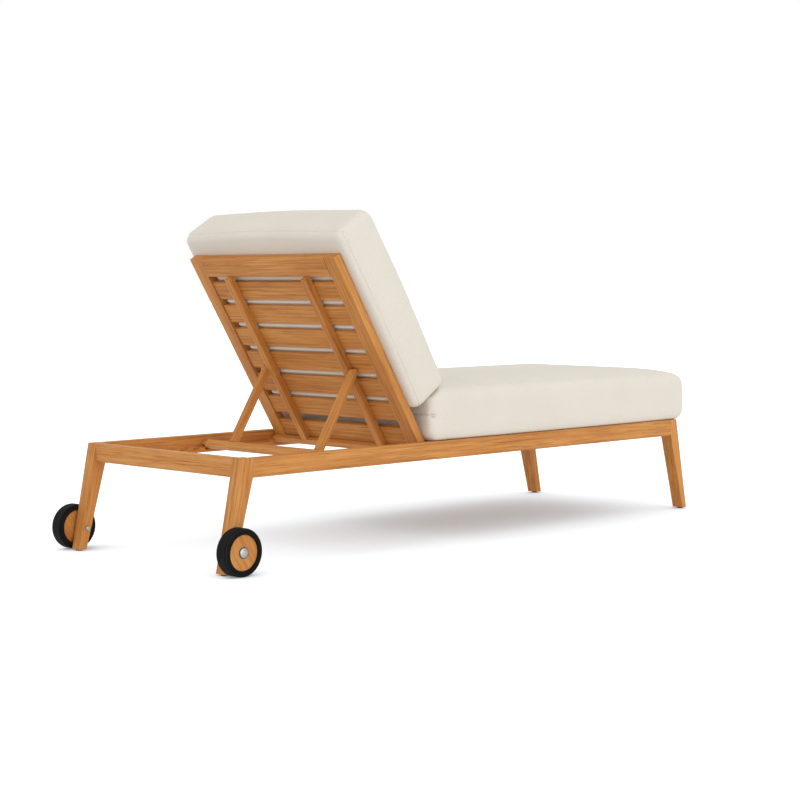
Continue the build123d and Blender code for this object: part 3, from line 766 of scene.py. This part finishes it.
class LOUNGER_OT_back_cushion(bpy.types.Operator):
    """Sew and fill the back cushion, with a seam and stitches round its side near the frame"""
    bl_idname = "lounger.back_cushion"
    bl_label = "Back Cushion"

    def execute(self, context):
        settings = context.scene.lounger_fabric

        def rests(low, high):
            return (low, Vector((0, 0, 1))), (low, Vector((0, 1, 0)))

        def all_round(point):
            return 1.0

        cover, low, high = stuffed_cover(
            "back_cushion", "back_cushion_cover", BACK_PLACE, settings.back_mesh, settings, rests)
        sag_between_slats(cover, low.z, settings)
        front = Vector((0, 0, 1))
        seam = low + front * settings.back_seam
        stitches = seam + front * settings.stitch_place
        sew(cover, [(seam, front, settings.seam_depth, all_round),
                    (stitches, front, 0.5 * settings.seam_depth, all_round)], settings.seam_width)
        # the seam is held at its two upper corners
        inset, pull, hollow = 9 * MM, 5 * MM, 9 * MM
        corners = [Vector((side, high.y - inset, seam.z))
                   for side in (low.x + inset, high.x - inset)]
        pinch(cover, corners, pull, hollow)
        finish_cushion(
            cover, BACK_PLACE, canvas("woven canvas back", settings, BACK_SLOPE), "back_cushion",
            "back")
        return {"FINISHED"}


# Studio paper: white in the camera's eye, with the lounger's soft shadow left on it, half cast by
# the lamps and half a painted shadow from the open sky
def studio_floor(name):
    material = bpy.data.materials.new(name)
    tree = empty_tree(material)
    seen = seen_directly(tree)
    # what the eye sees is half a cool paper, tinted against the warm light that the timber throws
    # on it, and half a glow that fades with the open sky as a painted shadow, so that the shadow
    # stays grey
    shade = add_node(
        tree, "ShaderNodeMix", {0: seen, 6: (0.905, 0.905, 0.905, 1), 7: (0.50, 0.555, 0.60, 1)},
        data_type="RGBA")
    paper = add_node(tree, "ShaderNodeBsdfDiffuse", {"Color": shade.outputs[2]})
    sky = add_node(tree, "ShaderNodeAmbientOcclusion", {"Distance": 4.0}, samples=16)
    fade = add_node(
        tree, "ShaderNodeMapRange",
        {"Value": sky.outputs["AO"], "From Min": 0.2, "To Min": 0.245, "To Max": 0.9})
    # painted shadow: the glow darkens where the lounger hides the open sky
    level = add_node(
        tree, "ShaderNodeMath", {0: seen, 1: fade.outputs["Result"]}, operation="MULTIPLY")
    glow = add_node(tree, "ShaderNodeEmission", {"Strength": level.outputs["Value"]})
    surface = add_node(
        tree, "ShaderNodeAddShader", {0: paper.outputs["BSDF"], 1: glow.outputs["Emission"]})
    add_node(tree, "ShaderNodeOutputMaterial", {"Surface": surface.outputs["Shader"]})
    return material


def seen_directly(tree):
    """One for the rays that show a surface to the eye, straight, mirrored or through glass."""
    rays = add_node(tree, "ShaderNodeLightPath")
    straight = add_node(
        tree, "ShaderNodeMath",
        {0: rays.outputs["Is Camera Ray"], 1: rays.outputs["Is Glossy Ray"]}, operation="MAXIMUM")
    return add_node(
        tree, "ShaderNodeMath",
        {0: straight.outputs["Value"], 1: rays.outputs["Is Transmission Ray"]},
        operation="MAXIMUM").outputs["Value"]


def studio_sky(strength):
    """An even sky that lights at the given strength and is white in the eye."""
    world = bpy.data.worlds.new("studio sky")
    bpy.context.scene.world = world
    tree = empty_tree(world)
    level = add_node(
        tree, "ShaderNodeMapRange",
        {"Value": seen_directly(tree), "To Min": strength, "To Max": 1.0})
    sky = add_node(
        tree, "ShaderNodeBackground",
        {"Color": (1, 1, 1, 1), "Strength": level.outputs["Result"]})
    add_node(tree, "ShaderNodeOutputWorld", {"Surface": sky.outputs["Background"]})


def soft_sun(name, strength, direction):
    """A sun as wide as a large soft box, shining in a direction."""
    lamp = bpy.data.lights.new(name, "SUN")
    lamp.energy = strength
    lamp.angle = SOFT_BOX_WIDTH
    sun = bpy.data.objects.new(name, lamp)
    sun.rotation_euler = Vector(direction).to_track_quat("-Z", "Y").to_euler()
    bpy.context.scene.collection.objects.link(sun)


class LOUNGER_OT_studio(bpy.types.Operator):
    """Set the floor, the lights and the camera"""
    bl_idname = "lounger.studio"
    bl_label = "Studio"

    def execute(self, context):
        settings = context.scene.lounger_studio
        scene = context.scene
        mesh = bmesh.new()
        bmesh.ops.create_circle(mesh, cap_ends=True, segments=96, radius=FLOOR_RADIUS)
        data = bpy.data.meshes.new("studio_floor")
        mesh.to_mesh(data)
        mesh.free()
        floor = bpy.data.objects.new("studio_floor", data)
        scene.collection.objects.link(floor)
        data.materials.append(studio_floor("white studio paper"))

        studio_sky(settings.sky)
        soft_sun("side_light", settings.side_sun, (1, 0, -0.263))
        soft_sun("rear_light", settings.rear_sun, (0, -1, -1))

        view = bpy.data.cameras.new("camera")
        view.sensor_width = 36
        view.lens = settings.lens
        view.clip_end = 200
        camera = bpy.data.objects.new("camera", view)
        camera.location = settings.camera_place
        camera.rotation_euler = (radians(90) - settings.camera_drop, 0, settings.camera_turn)
        scene.collection.objects.link(camera)
        scene.camera = camera
        scene.view_settings.view_transform = "Standard"
        return {"FINISHED"}


class LOUNGER_PT_panel(bpy.types.Panel):
    """The lounger's steps, in order"""
    bl_label = "Lounger"
    bl_idname = "LOUNGER_PT_panel"
    bl_space_type = "VIEW_3D"
    bl_region_type = "UI"
    bl_category = "Lounger"

    def draw(self, context):
        for operator in STEPS:
            self.layout.operator(operator.bl_idname)


STEPS = (
    LOUNGER_OT_teak,
    LOUNGER_OT_hardware,
    LOUNGER_OT_seat_cushion,
    LOUNGER_OT_back_cushion,
    LOUNGER_OT_studio,
)
GROUPS = {
    "lounger_timber": LoungerTimber,
    "lounger_fabric": LoungerFabric,
    "lounger_wheels": LoungerWheels,
    "lounger_studio": LoungerStudio,
}


def register():
    for name, group in GROUPS.items():
        bpy.utils.register_class(group)
        setattr(bpy.types.Scene, name, bpy.props.PointerProperty(type=group))
    for entry in (*STEPS, LOUNGER_PT_panel):
        bpy.utils.register_class(entry)


def unregister():
    for entry in reversed((*STEPS, LOUNGER_PT_panel)):
        bpy.utils.unregister_class(entry)
    for name, group in reversed(GROUPS.items()):
        delattr(bpy.types.Scene, name)
        bpy.utils.unregister_class(group)


def main():
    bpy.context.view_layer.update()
    register()
    bpy.ops.lounger.teak()
    bpy.ops.lounger.hardware()
    bpy.ops.lounger.seat_cushion()
    bpy.ops.lounger.back_cushion()
    bpy.ops.lounger.studio()


if __name__ == "__main__":
    main()
